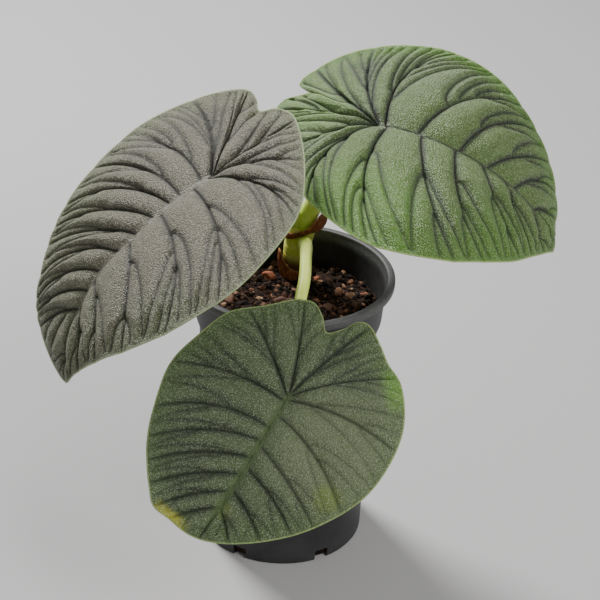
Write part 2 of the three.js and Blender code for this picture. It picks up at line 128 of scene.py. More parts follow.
class Finish:
    """A material, the one method that adds its nodes, and short calls of that method."""

    def __init__(self, name):
        self.material = bpy.data.materials.new(name)
        self.material.use_nodes = True
        self.tree = self.material.node_tree
        self.shader = self.tree.nodes["Principled BSDF"]

    def node(self, kind, settings, inputs, out=0):
        made = self.tree.nodes.new(kind)
        for name, value in settings.items():
            if name == "stops":
                while len(made.color_ramp.elements) < len(value):
                    made.color_ramp.elements.new(0.5)
                for element, (place, colour) in zip(made.color_ramp.elements, value):
                    element.position = place
                    element.color = (*colour, 1)
            else:
                setattr(made, name, value)
        for name, value in inputs.items():
            if isinstance(value, Wire):
                self.tree.links.new(value.socket, made.inputs[name])
            else:
                made.inputs[name].default_value = value
        return Wire(self, made.outputs[out])

    def blend(self, share, first, second):
        """A mix of two colours, all of the second where share is 1."""
        colours = [c if isinstance(c, Wire) else (*c, 1) for c in (first, second)]
        inputs = {0: share, 6: colours[0], 7: colours[1]}
        return self.node("ShaderNodeMix", {"data_type": "RGBA"}, inputs, 2)

    def place(self):
        """A point's place in the shared frame, in metres."""
        return self.node("ShaderNodeTexCoord", {}, {}, "Object")

    def noise(self, size, detail=3, roughness=0.55, place=None):
        """Soft random mottling whose lumps are about size mm across."""
        inputs = {"Vector": place or self.place(), "Scale": 1 / (size * MM), "Detail": detail}
        return self.node("ShaderNodeTexNoise", {}, {**inputs, "Roughness": roughness}, "Fac")

    def cells(self, size):
        """The distance from the middle of cells that are about size mm across."""
        inputs = {"Vector": self.place(), "Scale": 1 / (size * MM)}
        return self.node("ShaderNodeTexVoronoi", {}, inputs, "Distance")

    def stored(self, name):
        """A value kept on the mesh's points."""
        return self.node("ShaderNodeAttribute", {"attribute_name": name}, {}, "Fac")

    def relief(self, height, depth, strength):
        """A bumped normal; depth is how high a height of 1 stands, in mm."""
        inputs = {"Height": height, "Distance": depth * MM, "Strength": strength}
        return self.node("ShaderNodeBump", {}, inputs, "Normal")

    def wear(self, **sockets):
        """Sets the shader's sockets by name, with _ for a space."""
        for name, value in sockets.items():
            socket = self.shader.inputs[name.replace("_", " ")]
            if isinstance(value, Wire):
                self.tree.links.new(value.socket, socket)
            else:
                socket.default_value = (*value, 1) if socket.type == "RGBA" else value
        return self.material


FLOOR_SIZE = 8.0
FLOOR_COLOUR = (0.44, 0.428, 0.424)
KEY_PLACE, KEY_SIZE, KEY_POWER = (-0.55, 0.75, 1.15), 0.4, 33
FILL_PLACE, FILL_SIZE, FILL_POWER = (0.85, -0.9, 1.1), 0.7, 17
PLANT_MIDDLE = (0, -0.02, 0.16)
SURROUND_COLOUR = (0.95, 0.97, 1.0)
SURROUND_STRENGTH = 0.33

floor_mesh = bpy.data.meshes.new("floor")
half = FLOOR_SIZE / 2
floor_mesh.from_pydata([(-half, -half, 0), (half, -half, 0), (half, half, 0), (-half, half, 0)], [],
                       [(0, 1, 2, 3)])
floor = linked("floor", floor_mesh)
floor_mesh.materials.append(Finish("pale_floor").wear(Base_Color=FLOOR_COLOUR, Roughness=0.85))


def lamp(name, place, size, power):
    """A round soft lamp that faces the plant."""
    light = bpy.data.lights.new(name, "AREA")
    light.shape = "DISK"
    light.size = size
    light.energy = power
    made = linked(name, light)
    made.location = place
    made.rotation_euler = (Vector(PLANT_MIDDLE) - Vector(place)).to_track_quat("-Z", "Y").to_euler()


lamp("key_lamp", KEY_PLACE, KEY_SIZE, KEY_POWER)
lamp("front_lamp", FILL_PLACE, FILL_SIZE, FILL_POWER)
world = bpy.data.worlds.new("surround")
world.use_nodes = True
backdrop = world.node_tree.nodes["Background"].inputs
backdrop["Color"].default_value = (*SURROUND_COLOUR, 1)
backdrop["Strength"].default_value = SURROUND_STRENGTH
bpy.context.scene.world = world


# Nursery pot
# A tall thin cone of black polypropylene, moulded in one piece with a collar and a rolled lip.
# Six drain notches are let into the edge of its floor. The plastic is matte and a little scuffed.
POT_HEIGHT = 150
RIM_RADIUS = 52.5
LIP_WIDTH = 3.8
LIP_DROP = 4.4
COLLAR_RADIUS = 48.3
COLLAR_FOOT = (46.9, 126.5)
WALL_TOP = (44.8, 120.5)
FOOT_RADIUS = 42.4
WALL = 1.3
FLOOR = 1.6
AXIS_GAP = 0.5
CORNER_CUT = 1.6
DRAIN_COUNT = 6
DRAIN_WIDTH = 7.5
DRAIN_HEIGHT = 6.2
DRAIN_REACH = 8
DRAIN_ROUNDING = 0.7
DRAIN_FIRST_ANGLE = math.radians(-118.3)
POT_SIDES = 168
SHARP_ANGLE = math.radians(38)


def piece_of(name, points, faces, node, slot, stored=None, smooth=True):
    """A piece of the object from points in mm, for a CAD node and on the root."""
    mesh = bpy.data.meshes.new(name)
    mesh.from_pydata((np.asarray(points, float) * MM).tolist(), [], faces)
    for key, values in (stored or {}).items():
        mesh.attributes.new(key, "FLOAT", "POINT").data.foreach_set("value", np.asarray(values, float))
    made = linked(name, mesh)
    mesh.polygons.foreach_set("use_smooth", [smooth] * len(mesh.polygons))
    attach(made, "root")
    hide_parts(node)
    return made


def round_turns(count):
    """Even steps round one full turn."""
    return [2 * math.pi * step / count for step in range(count)]


def level_ring(radius, z, count):
    """A ring of points about the pot's axis."""
    return [(radius * math.cos(turn), radius * math.sin(turn), z) for turn in round_turns(count)]


def ring_body(rings):
    """Points and faces of a closed body through rings of points, capped at both ends."""
    rows, sides = len(rings), len(rings[0])
    points = [tuple(point) for ring in rings for point in ring]
    faces = []
    for start in range(0, (rows - 1) * sides, sides):
        for side in range(sides):
            after = (side + 1) % sides
            faces.append((start + side, start + after, start + sides + after, start + sides + side))
    faces.append(tuple(reversed(range(sides))))
    faces.append(tuple(range((rows - 1) * sides, rows * sides)))
    return points, faces


def rounded(profile, radius, steps=4):
    """A profile whose corners are cut into short curves; radius is the longest cut in mm."""
    result = [profile[0]]
    for before, corner, after in zip(profile, profile[1:], profile[2:]):
        before, corner, after = Vector(before), Vector(corner), Vector(after)
        cut = min(radius, 0.45 * (corner - before).length, 0.45 * (after - corner).length)
        start = corner + (before - corner).normalized() * cut
        end = corner + (after - corner).normalized() * cut
        for step in range(steps + 1):
            share = step / steps
            result.append(tuple(start.lerp(corner, share).lerp(corner.lerp(end, share), share)))
    return [*result, profile[-1]]


under_lip = POT_HEIGHT - LIP_DROP
lip_inner = RIM_RADIUS - LIP_WIDTH
pot_profile = rounded([
    (AXIS_GAP, 0), (FOOT_RADIUS, 0), WALL_TOP, COLLAR_FOOT, (COLLAR_RADIUS, under_lip),
    (RIM_RADIUS, under_lip - 0.2), (RIM_RADIUS, POT_HEIGHT), (lip_inner, POT_HEIGHT),
    (lip_inner - 0.4, POT_HEIGHT - 2.2), (COLLAR_RADIUS - WALL, under_lip - 1.2),
    (COLLAR_FOOT[0] - WALL, COLLAR_FOOT[1] + 0.3), (WALL_TOP[0] - WALL, WALL_TOP[1] + 0.3),
    (FOOT_RADIUS - WALL, FLOOR), (AXIS_GAP, FLOOR),
], CORNER_CUT)
pot_rings = [level_ring(radius, z, POT_SIDES) for radius, z in pot_profile]
pot = piece_of("pot_shell", *ring_body(pot_rings), "nursery_pot", "pot")

cutters = []
for step in round_turns(DRAIN_COUNT):
    turn = DRAIN_FIRST_ANGLE + step
    shape = bmesh.new()
    bmesh.ops.create_cube(shape, size=1)
    size = Matrix.Diagonal((2 * DRAIN_REACH * MM, DRAIN_WIDTH * MM, 2 * DRAIN_HEIGHT * MM, 1))
    bmesh.ops.transform(shape, verts=shape.verts, matrix=Matrix.Rotation(turn, 4, "Z")
                        @ Matrix.Translation((FOOT_RADIUS * MM, 0, 0)) @ size)
    bmesh.ops.bevel(
        shape, geom=shape.edges, offset=DRAIN_ROUNDING * MM, segments=3, affect="EDGES", profile=0.5)
    cutter_mesh = bpy.data.meshes.new("drain_cutter")
    shape.to_mesh(cutter_mesh)
    shape.free()
    cutter = linked("drain_cutter", cutter_mesh)
    cutters.append(cutter)
    cut = pot.modifiers.new("drain", "BOOLEAN")
    cut.operation = "DIFFERENCE"
    cut.solver = "EXACT"
    cut.object = cutter
pot_cut = bpy.data.meshes.new_from_object(pot.evaluated_get(bpy.context.evaluated_depsgraph_get()))
pot.modifiers.clear()
pot.data = pot_cut
for cutter in cutters:
    bpy.data.objects.remove(cutter)
pot.data.set_sharp_from_angle(angle=SHARP_ANGLE)

plastic = Finish("scuffed_black_plastic")
height_up = plastic.node("ShaderNodeSeparateXYZ", {}, {0: plastic.place()}, "Z") / MM
on_lip = height_up.between(under_lip - 1.5, under_lip + 2)
cloudy = plastic.noise(14, 4)
dust = plastic.noise(1.6, 5, 0.7).between(0.5, 0.75)
base = plastic.blend(cloudy.between(0.35, 0.7), (0.020, 0.020, 0.021), (0.034, 0.033, 0.034))
# The lip is painted a lighter grey, partly for scuffing and partly as a painted highlight along the rolled
# lip.
base = plastic.blend(on_lip * 0.7, base, (0.085, 0.083, 0.082))
base = plastic.blend(dust * (0.10 + 0.25 * on_lip), base, (0.26, 0.25, 0.24))
grain = plastic.noise(0.45, 3)
pot.data.materials.clear()
pot.data.materials.append(plastic.wear(
    Base_Color=base,
    Roughness=0.5 + 0.22 * dust + 0.1 * cloudy,
    Normal=plastic.relief(grain + 0.8 * cloudy, 0.12, 0.5),
    Specular_IOR_Level=0.45,
))


# Potting mix
# Damp dark coir and bark with terracotta and tan gravel. It fills the pot, and what shows is its
# surface: a lumpy bed with crumbs, stones and thin coir fibres loose on it or half sunk in it.
MIX_LEVEL = 131.5
MIX_BUMP = 1.1
MIX_CLEARANCE = 0.35
MIX_EDGE = COLLAR_FOOT[0] - WALL - 0.15
MIX_FLOOR = FLOOR + MIX_CLEARANCE
BED_SINK = 0.5
QUIET_RADIUS = 11
CROWN_PLACE = (1.0, 29.0)
CROWN_HOLE = 5.9
BED_TURNS = 150
BED_RINGS = 62


def from_crown(x, y):
    return math.hypot(x - CROWN_PLACE[0], y - CROWN_PLACE[1])


def mix_height(x, y):
    """The same gentle humps as the solid mix, flat close to the crown."""
    humps = math.sin(x * 0.21 + 1.3) * math.cos(y * 0.17 - 0.4) + 0.5 * math.sin(x * 0.43 - y * 0.37)
    away = (from_crown(x, y) - QUIET_RADIUS) / QUIET_RADIUS
    away = min(max(away, 0), 1)
    return MIX_LEVEL + MIX_BUMP * humps * away * away * (3 - 2 * away)


def lumps(x, y, z, size, octaves=4):
    """Signed random unevenness, about -1 to 1, with lumps about size mm across."""
    return noise.fractal(Vector((x, y, z)) / size, 0.9, 2.1, octaves)


def clods(x, y):
    """The coarser unevenness of the bed, which also lifts what lies on it."""
    return lumps(x, y, 3, 4.5)


def on_disc(first, second, reach):
    """A place on a disc about the pot's axis from two even random numbers, with even spread."""
    away = reach * math.sqrt(first)
    turn = 2 * math.pi * second
    return away * math.cos(turn), away * math.sin(turn)


bed_rings = [level_ring(radius - WALL - MIX_CLEARANCE, z, BED_TURNS)
             for radius, z in ((FOOT_RADIUS, MIX_FLOOR), WALL_TOP, COLLAR_FOOT)]
bed_rings.append(level_ring(MIX_EDGE, MIX_LEVEL - 2, BED_TURNS))
for ring in range(BED_RINGS):
    reach = MIX_EDGE * (1 - ring / BED_RINGS)
    row = []
    for x, y, _ in level_ring(reach, 0, BED_TURNS):
        crumble = 0.9 * clods(x, y) + 0.45 * lumps(x, y, 9, 1.6)
        row.append((x, y, mix_height(x, y) - BED_SINK + crumble))
    bed_rings.append(row)
bed = piece_of("mix_bed", *ring_body(bed_rings), "potting_mix", "mix")


def seeded_random(seed):
    """Repeatable numbers from 0 to 1, the same ones that place the stones in the solid mix."""
    mask = 0xFFFFFFFF
    state = seed & mask
    while True:
        state = (state + 0x6D2B79F5) & mask
        mixed = ((state ^ (state >> 15)) * (1 | state)) & mask
        mixed ^= (mixed + ((mixed ^ (mixed >> 7)) * (61 | mixed)) & mask) & mask
        yield ((mixed ^ (mixed >> 14)) & mask) / 4294967296


STONE_FACETS = 9
FACET_REACH = (0.5, 0.85)
FACET_FLATNESS = 0.92
STONE_BREADTH = (0.7, 0.95)
STONE_TILT = 0.5
STONE_ROUGHNESS = 0.07


def rough_stone(centre, size, flat, seed, detail):
    """Points and faces of one broken lump: a ball pressed flat on random facets, then roughened.
    flat is its height as a share of its length; only a ball of finer detail is roughened."""
    draw = np.random.default_rng(seed)
    ball = bmesh.new()
    bmesh.ops.create_icosphere(ball, subdivisions=detail, radius=1)
    points = np.array([vert.co[:] for vert in ball.verts])
    faces = [[vert.index for vert in face.verts] for face in ball.faces]
    ball.free()
    facets = draw.normal(size=(STONE_FACETS, 3))
    facets /= np.linalg.norm(facets, axis=1)[:, None]
    for facet, reach in zip(facets, draw.uniform(*FACET_REACH, STONE_FACETS)):
        over = np.maximum(points @ facet - reach, 0)
        points -= over[:, None] * facet * FACET_FLATNESS
    points *= np.array([1, draw.uniform(*STONE_BREADTH), flat]) * size
    turn = draw.uniform(0, 2 * math.pi)
    tilt = draw.uniform(-STONE_TILT, STONE_TILT)
    rolled = Matrix.Rotation(turn, 3, "Z") @ Matrix.Rotation(tilt, 3, "X")
    points = points @ np.array(rolled).T
    if detail > 1:
        swell = [1 + STONE_ROUGHNESS * lumps(*(point / size + seed), 0.45, 3) for point in points]
        points *= np.array(swell)[:, None]
    return points + np.array(centre), faces


class Heap:
    """Many lumps gathered into one piece, each with its own tint kept on its points."""

    def __init__(self):
        self.points, self.faces, self.tints = [], [], []

    def add(self, points, faces, tint):
        first = len(self.points)
        self.points.extend(map(tuple, points))
        self.faces.extend([tuple(corner + first for corner in face) for face in faces])
        self.tints.extend([tint] * len(points))

    def made(self, name, smooth):
        return piece_of(name, self.points, self.faces, "potting_mix", "mix", {"tint": self.tints}, smooth)


# Stones that the photo shows, as x, y and size, then seeded ones
SHOWN_STONES = [(-11, 25.5, 4.4), (25, 13, 3.5), (31, 9.5, 2.9), (38, 12, 2.4), (33.5, -2, 3.0),
                (13.5, 26.5, 2.0), (19.5, -2.5, 3.2)]
SHOWN_TINTS = [0.95, 0.62, 0.55, 0.85, 0.30, 0.90, 0.25]
SHOWN_SEED = 300
STONE_COUNT = 22
STONE_SIZE = (2.2, 3.8)
STONE_SEED = 41
STONE_SHAPE_SEED = 500
STONE_DRAWS = 13
stones = Heap()
for at, ((x, y, size), tint) in enumerate(zip(SHOWN_STONES, SHOWN_TINTS)):
    stones.add(*rough_stone((x, y, mix_height(x, y) + 0.15 * size), size, 0.75, SHOWN_SEED + at, 4), tint)
draw = seeded_random(STONE_SEED)
placed = 0
while placed < STONE_COUNT:
    size = STONE_SIZE[0] + (STONE_SIZE[1] - STONE_SIZE[0]) * next(draw)
    x, y = on_disc(next(draw), next(draw), MIX_EDGE - size - 1)
    clear = from_crown(x, y) > QUIET_RADIUS
    if clear and all(math.hypot(x - sx, y - sy) > size + near for sx, sy, near in SHOWN_STONES):
        # The shape of a solid stone takes this many numbers, so the next one keeps its place
        for _ in range(STONE_DRAWS):
            next(draw)
        tint = 0.62 * ((placed * 0.37) % 1)
        height = mix_height(x, y) + 0.1 * size
        stones.add(*rough_stone((x, y, height), size, 0.7, STONE_SHAPE_SEED + placed, 3), tint)
        placed += 1
gravel = stones.made("mix_gravel", True)

# Crumbs, most of them small, lie on the clods of the bed
CRUMB_COUNT = 2300
CRUMB_SEED = 7
CRUMB_SHAPE_SEED = 2000
CRUMB_SIZE = 0.5
CRUMB_GROWTH = 2.1
crumbs = Heap()
draw = np.random.default_rng(CRUMB_SEED)
for at in range(CRUMB_COUNT):
    x, y = on_disc(draw.random(), draw.random(), MIX_EDGE - 1.2)
    if from_crown(x, y) < CROWN_HOLE + 1:
        continue
    size = CRUMB_SIZE + CRUMB_GROWTH * draw.random() ** 3
    height = mix_height(x, y) + 0.9 * clods(x, y) + 0.3 * size * draw.random()
    tint = draw.random() ** 3
    flat = draw.uniform(0.5, 0.9)
    crumbs.add(*rough_stone((x, y, height), size, flat, CRUMB_SHAPE_SEED + at, 1), tint)
crumb_heap = crumbs.made("mix_crumbs", False)

# Coir fibres are thin curved threads that arch a little over the bed
FIBRE_COUNT = 330
FIBRE_STRIDE = (0.5, 1.3)
FIBRE_RADIUS = (0.07, 0.17)
FIBRE_LIFT = (0.3, 1.6)
FIBRE_SIDES = 4
FIBRE_BENDS = 7
fibres = Heap()
for _ in range(FIBRE_COUNT):
    x, y = on_disc(draw.random(), draw.random(), MIX_EDGE - 4)
    if from_crown(x, y) < CROWN_HOLE + 5:
        continue
    heading = 2 * math.pi * draw.random()
    curl = draw.normal(0, 0.25)
    stride = draw.uniform(*FIBRE_STRIDE)
    thick = draw.uniform(*FIBRE_RADIUS)
    lift = draw.uniform(*FIBRE_LIFT)
    rings = []
    for bend in range(FIBRE_BENDS):
        share = bend / (FIBRE_BENDS - 1)
        height = mix_height(x, y) + 0.4 + lift * math.sin(math.pi * share) + 0.5 * clods(x, y)
        across = Vector((-math.sin(heading), math.cos(heading), 0))
        here = Vector((x, y, height))
        rings.append([here + across * thick * math.cos(turn) + Vector((0, 0, thick * math.sin(turn)))
                      for turn in round_turns(FIBRE_SIDES)])
        heading += curl + draw.normal(0, 0.2)
        x += stride * math.cos(heading)
        y += stride * math.sin(heading)
    if math.hypot(x, y) < MIX_EDGE - 1.5:
        fibres.add(*ring_body(rings), draw.random())
fibre_heap = fibres.made("mix_fibres", True)

soil = Finish("damp_coir_and_bark")
fine = soil.noise(0.8, 4, 0.7)
patches = soil.noise(6, 3)
earth = soil.blend(fine.between(0.35, 0.7), (0.006, 0.003, 0.002), (0.048, 0.023, 0.013))
earth = soil.blend(patches.between(0.5, 0.75) * 0.5, earth, (0.085, 0.045, 0.026))
bed.data.materials.append(soil.wear(
    Base_Color=earth, Roughness=0.8 + 0.2 * fine, Normal=soil.relief(fine, 0.7, 0.9),
    Specular_IOR_Level=0.2))

crumb = Finish("bark_crumbs")
tint = crumb.stored("tint")
fine = crumb.noise(0.7, 4, 0.7)
bark_stops = [(0.0, (0.006, 0.003, 0.002)), (0.4, (0.030, 0.013, 0.007)), (0.66, (0.090, 0.037, 0.018)),
              (0.85, (0.20, 0.088, 0.042)), (1.0, (0.42, 0.26, 0.16))]
shade = tint + 0.25 * (fine - 0.5)
bark = crumb.node("ShaderNodeValToRGB", {"stops": bark_stops}, {0: shade}, "Color")
crumb_heap.data.materials.append(crumb.wear(
    Base_Color=bark, Roughness=0.7 + 0.3 * fine, Normal=crumb.relief(fine, 0.3, 0.8),
    Specular_IOR_Level=0.2))

stone = Finish("fired_clay_gravel")
tint = stone.stored("tint")
speck = stone.noise(0.6, 4, 0.65)
cloud = stone.noise(3.5, 3)
clay_stops = [(0.0, (0.050, 0.026, 0.018)), (0.3, (0.12, 0.058, 0.035)), (0.55, (0.22, 0.11, 0.055)),
              (0.75, (0.27, 0.115, 0.055)), (1.0, (0.37, 0.105, 0.042))]
shade = tint + 0.25 * (cloud - 0.5)
clay = stone.node("ShaderNodeValToRGB", {"stops": clay_stops}, {0: shade}, "Color")
clay = stone.blend(speck.between(0.5, 0.75) * 0.45, clay, (0.055, 0.03, 0.02))
clay = stone.blend(speck.between(0.3, 0.1) * 0.4, clay, (0.62, 0.42, 0.30))
gravel.data.materials.append(stone.wear(
    Base_Color=clay, Roughness=0.6 + 0.35 * speck, Normal=stone.relief(speck + cloud, 0.5, 0.8),
    Specular_IOR_Level=0.3))

thread = Finish("coir_fibre")
tint = thread.stored("tint")
straw = thread.blend(tint, (0.035, 0.017, 0.010), (0.24, 0.13, 0.07))
fibre_heap.data.materials.append(thread.wear(Base_Color=straw, Roughness=0.65 + 0.2 * thread.noise(2)))


# Crown
# The short upright stem, fleshy and yellow green, with the ring scars of shed leaves. It is planted
# behind the pot's middle and leans to the right, and the three stalks are seated in it.
CROWN = [
    (0.8, 29, 101, 4.2), (0.8, 29, 126, 5.0), (1.0, 29, 134, 5.6), (1.8, 28.5, 143, 6.3),
    (3.0, 28, 152, 6.9), (4.4, 27.5, 160, 7.3), (5.0, 27.2, 164, 7.2),
]
CROWN_SIDES = 72
CROWN_ROWS = 110
CROWN_DISH = ((0.5, 0.82), (1.4, 0.55), (2.4, 0.2))
SCARS = (0.47, 0.56, 0.66, 0.78, 0.90)
SCAR_DEPTH = 0.05
SCAR_WIDTH = 0.007
LEAST_GAP = 1e-4


def smooth_line(stations, count, closed=False):
    """Points on a smooth curve through the stations, evenly by station; a station may carry more
    values than its place, such as a radius. The curve is a centripetal Catmull-Rom spline."""
    stations = np.asarray(stations, float)
    spans = len(stations) if closed else len(stations) - 1
    if closed:
        line = np.vstack([stations[-1:], stations, stations[:2]])
    else:
        ends = 2 * stations[:1] - stations[1:2], 2 * stations[-1:] - stations[-2:-1]
        line = np.vstack([ends[0], stations, ends[1]])
    result = []
    for step in range(count if closed else count + 1):
        along = spans * step / count
        at = min(int(along), spans - 1)
        share = along - at
        p0, p1, p2, p3 = line[at:at + 4]
        pairs = ((p0, p1), (p1, p2), (p2, p3))
        d0, d1, d2 = (max(np.linalg.norm((b - a)[:3]) ** 0.5, LEAST_GAP) for a, b in pairs)
        m1 = ((p1 - p0) / d0 - (p2 - p0) / (d0 + d1) + (p2 - p1) / d1) * d1
        m2 = ((p2 - p1) / d1 - (p3 - p1) / (d1 + d2) + (p3 - p2) / d2) * d1
        s2, s3 = share * share, share ** 3
        result.append((2 * s3 - 3 * s2 + 1) * p1 + (s3 - 2 * s2 + share) * m1
                      + (3 * s2 - 2 * s3) * p2 + (s3 - s2) * m2)
    return np.array(result)


def swept(stations, sides, rows, shape):
    """Rings of points round a centre line with a radius at each station. shape(turn, share) scales
    the radius. Also gives each point's share along the line."""
    line = smooth_line(stations, rows)
    across = Vector((1, 0, 0))
    rings, shares = [], []
    for row in range(rows + 1):
        here = Vector(line[row][:3])
        ahead_of = Vector(line[min(row + 1, rows)][:3]) - Vector(line[max(row - 1, 0)][:3])
        ahead_of.normalize()
        across = across - ahead_of * across.dot(ahead_of)
        across.normalize()
        side_on = ahead_of.cross(across)
        share = row / rows
        ring = []
        for turn in round_turns(sides):
            radius = line[row][3] * shape(turn, share)
            ring.append(here + across * radius * math.cos(turn) + side_on * radius * math.sin(turn))
        rings.append(ring)
        shares.extend([share] * sides)
    return rings, shares


def crown_shape(turn, share):
    """Shallow wavy ring scars and a slightly knobbly skin."""
    scars = 0
    for scar in SCARS:
        off = share - scar - 0.006 * math.sin(turn + 9 * scar)
        scars += math.exp(-(off / SCAR_WIDTH) ** 2)
    knobs = lumps(math.cos(turn), math.sin(turn), 7 * share, 0.7, 3)
    return 1 - SCAR_DEPTH * scars + 0.018 * knobs


crown_rings, crown_shares = swept(CROWN, CROWN_SIDES, CROWN_ROWS, crown_shape)
top = crown_rings[-1]
middle = sum(top, Vector()) / len(top)
for sink, share in CROWN_DISH:
    crown_rings.append([middle + (point - middle) * share - Vector((0, 0, sink)) for point in top])
    crown_shares.extend([1.0] * CROWN_SIDES)
crown = piece_of("crown_skin", *ring_body(crown_rings), "stem", "stalk", {"along": crown_shares})

FLESH_GLOW = {"Subsurface_Radius": (0.8, 1.0, 0.3), "Subsurface_Scale": 1.5 * MM}
skin = Finish("fleshy_crown_skin")
along = skin.stored("along")
streak = skin.noise(5, 3)
flesh = skin.blend(streak.between(0.3, 0.75), (0.74, 0.84, 0.090), (0.94, 0.98, 0.26))
flesh = skin.blend(along.between(0.62, 0.44), flesh, (0.13, 0.055, 0.022))
scar_line = skin.noise(1.3, 3)
flesh = skin.blend(scar_line.between(0.62, 0.8) * 0.35, flesh, (0.20, 0.10, 0.03))
crown.data.materials.append(skin.wear(
    Base_Color=flesh, Roughness=0.42 + 0.2 * streak, Normal=skin.relief(scar_line, 0.25, 0.5),
    Subsurface_Weight=0.12, **FLESH_GLOW))


# Leaf stalks
# Smooth fleshy petioles, one to a leaf, sunk into the crown, thick there and slimmer toward the blade.
# The far end of each is pressed into the underside of its blade. A station is a place on the centre
# line and the radius there.
STALKS = {
    "left": [
        (2.6, 26.8, 157, 3.4), (1.0, 25.5, 166, 3.9), (-5.5, 18.5, 180, 3.5), (-16, 6, 193, 3.0),
        (-28, -10, 203.5, 2.7), (-37.5, -22, 209.5, 2.4), (-42.7, -28.0, 212.6, 2.2),
    ],
    "right": [
        (4.8, 27.2, 155, 4.4), (7.0, 26.4, 167, 5.1), (11.5, 24.6, 179, 4.5), (19, 21.5, 193, 3.5),
        (29, 17, 208, 2.8), (38, 13.5, 219.5, 2.4), (43.2, 12.0, 226.6, 2.2),
    ],
    "front": [
        (5.6, 24.5, 150, 3.3), (6.4, 18.5, 156.5, 3.4), (7.2, 5, 161.5, 3.2), (7.4, -12, 164, 3.0),
        (7.0, -32, 163, 2.9), (4.8, -52, 158.5, 2.8), (2.4, -72, 149.5, 2.6), (0.8, -88, 140, 2.4),
        (0.2, -98, 135.3, 2.2),
    ],
}
STALK_SIDES = 48
STALK_ROWS = 190
STALK_SEATED_ROWS = 24

# Which way the upper face of each blade looks where its stalk ends
BLADE_FACING = {
    "left": (-0.262, -0.336, 0.905),
    "right": (-0.006, -0.402, 0.916),
    "front": (-0.104, -0.664, 0.741),
}
SEAT_DEPTH = 1.4


def stalk_shape(turn, share):
    """Round with a shallow groove along one side, and a little uneven."""
    groove = 0.10 * math.exp(-((turn - 0.5 * math.pi) / 0.35) ** 2) * min(1, share * 4)
    unevenness = 0.02 * math.sin(23 * share + 2) + 0.012 * math.sin(3 * turn + 31 * share)
    return 1 - groove + unevenness


petiole = Finish("smooth_fleshy_petiole")
along = petiole.stored("along")
lengthwise = petiole.node("ShaderNodeMapping", {}, {0: petiole.place(), 3: (1, 0.25, 1)})
streak = petiole.noise(1.2, 3, 0.6, lengthwise)
cloud = petiole.noise(9, 2)
flesh = petiole.blend(cloud.between(0.35, 0.7), (0.70, 0.86, 0.13), (0.82, 0.93, 0.22))
flesh = petiole.blend(streak.between(0.45, 0.75) * 0.35, flesh, (0.94, 0.98, 0.42))
flesh = petiole.blend(along.between(0.09, 0.0) * 0.6, flesh, (0.62, 0.70, 0.13))
petiole_finish = petiole.wear(
    Base_Color=flesh, Roughness=0.36 + 0.18 * streak, Normal=petiole.relief(streak, 0.12, 0.4),
    Subsurface_Weight=0.15, **FLESH_GLOW)

for name, stations in STALKS.items():
    rings, shares = swept(stations, STALK_SIDES, STALK_ROWS, stalk_shape)
    seat, facing = Vector(stations[-1][:3]), Vector(BLADE_FACING[name])
    for ring in rings[-STALK_SEATED_ROWS:]:
        for at, point in enumerate(ring):
            over = (point - seat).dot(facing) + SEAT_DEPTH
            ring[at] = point - facing * max(over, 0)
    stalk = piece_of(f"stalk_{name}", *ring_body(rings), f"petiole_{name}", "stalk", {"along": shares})
    stalk.data.materials.append(petiole_finish)


# Old sheaths
# Dry, papery, red brown remains of the sheaths of shed leaves. They lie round the crown as thin
# strips with torn edges, and the upper one widens and stands off at its right end. A station is the
# turn about the crown in degrees from +X, the height, half the strip's width and how far it stands off.
OLD_SHEATHS = {
    "dry_sheath_upper": [
        (188, 158.2, 1.3, 0.5), (212, 158.4, 1.9, 0.6), (236, 159.2, 1.8, 0.7), (262, 161.0, 1.7, 0.8),
        (290, 163.0, 1.9, 1.0), (318, 165.4, 4.0, 1.6), (342, 167.2, 5.6, 2.9), (356, 169.4, 6.2, 4.6),
        (362, 171.0, 5.2, 5.8), (365, 171.8, 3.4, 6.4),
    ],
    "dry_sheath_lower": [
        (168, 144.0, 2.2, 1.4), (188, 143.0, 5.0, 1.5), (208, 140.0, 6.4, 0.8), (232, 137.4, 4.6, 0.3),
        (258, 136.0, 3.4, 0.2), (284, 135.4, 2.8, 0.2), (308, 135.0, 2.0, 0.3), (326, 134.4, 0.9, 0.4),
    ],
}
SHEATH_GAP = 0.35
SHEATH_THICKNESS = 0.7
SHEATH_TEAR = 0.34
SHEATH_CRINKLE = 0.22
SHEATH_TURN_UNIT = 12
SHEATH_ROWS = 120
SHEATH_BANDS = 14


def crown_at(z):
    """Middle and radius of the crown at a height."""
    heights = [station[2] for station in CROWN]
    return [float(np.interp(z, heights, [station[at] for station in CROWN])) for at in (0, 1, 3)]


paper = Finish("dry_papery_sheath")
fibre = paper.node("ShaderNodeMapping", {}, {0: paper.place(), 3: (1, 1, 0.2)})
fibre = paper.noise(0.7, 4, 0.65, fibre)
stain = paper.noise(4, 3)
husk = paper.blend(fibre.between(0.3, 0.75), (0.110, 0.026, 0.010), (0.46, 0.170, 0.050))
husk = paper.blend(stain.between(0.5, 0.75) * 0.6, husk, (0.035, 0.014, 0.008))
husk = paper.blend(paper.stored("edge") * 0.6, husk, (0.60, 0.33, 0.14))
paper_finish = paper.wear(
    Base_Color=husk, Roughness=0.65 + 0.3 * fibre, Normal=paper.relief(fibre, 0.3, 0.7),
    Specular_IOR_Level=0.25)

